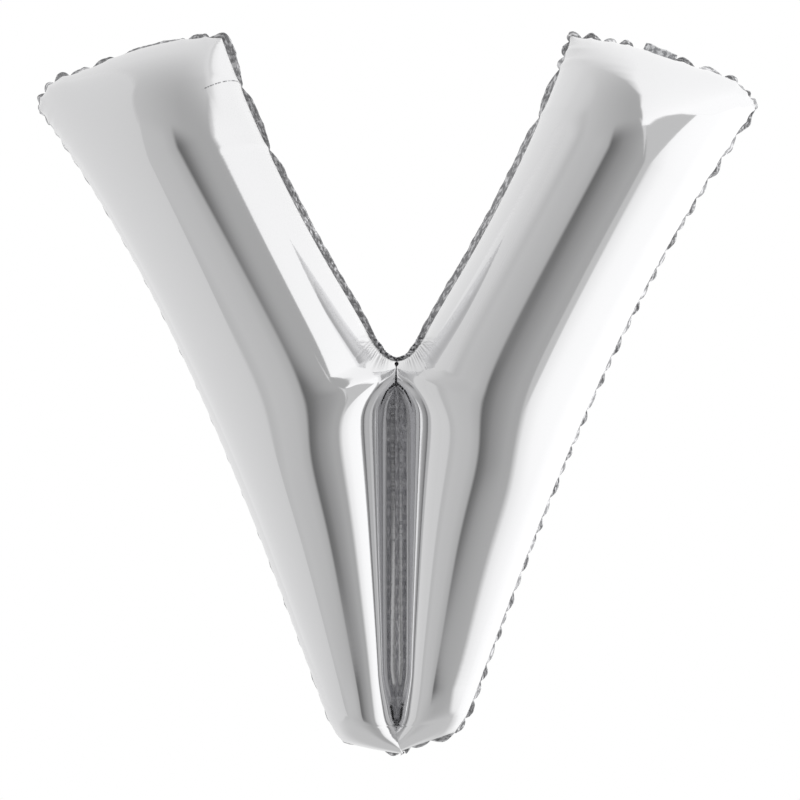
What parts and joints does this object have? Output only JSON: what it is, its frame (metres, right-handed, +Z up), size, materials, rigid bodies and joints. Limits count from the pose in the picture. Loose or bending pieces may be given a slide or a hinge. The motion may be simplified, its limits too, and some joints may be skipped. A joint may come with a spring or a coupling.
{
  "type": "foil letter balloon",
  "caption": "Inflated letter V foil balloon: two welded film panels, sealed edge, centre weld and filling valve sleeve.",
  "frame": {"origin": "the air mount, on the welded strip between the legs at half the letter's height", "axes": "+Z up, +X towards the leg that is on the right as the letter is read, front towards -Y"},
  "size_m": [0.8896, 0.2218, 0.8963],
  "materials": {
    "front_foil": "mirror-bright silver metallised film",
    "back_foil": "mirror-bright silver metallised film",
    "sealed_foil": "heat-sealed, crinkled silver film",
    "crimped_foil": "heat-sealed, crimped silver film",
    "valve_film": "clear film sleeve"
  },
  "bodies": {
    "root": {"front_panel": "front_foil", "back_panel": "back_foil", "edge_seam": "sealed_foil", "centre_weld": "crimped_foil", "valve_sleeve": "valve_film"}
  },
  "joints": []
}
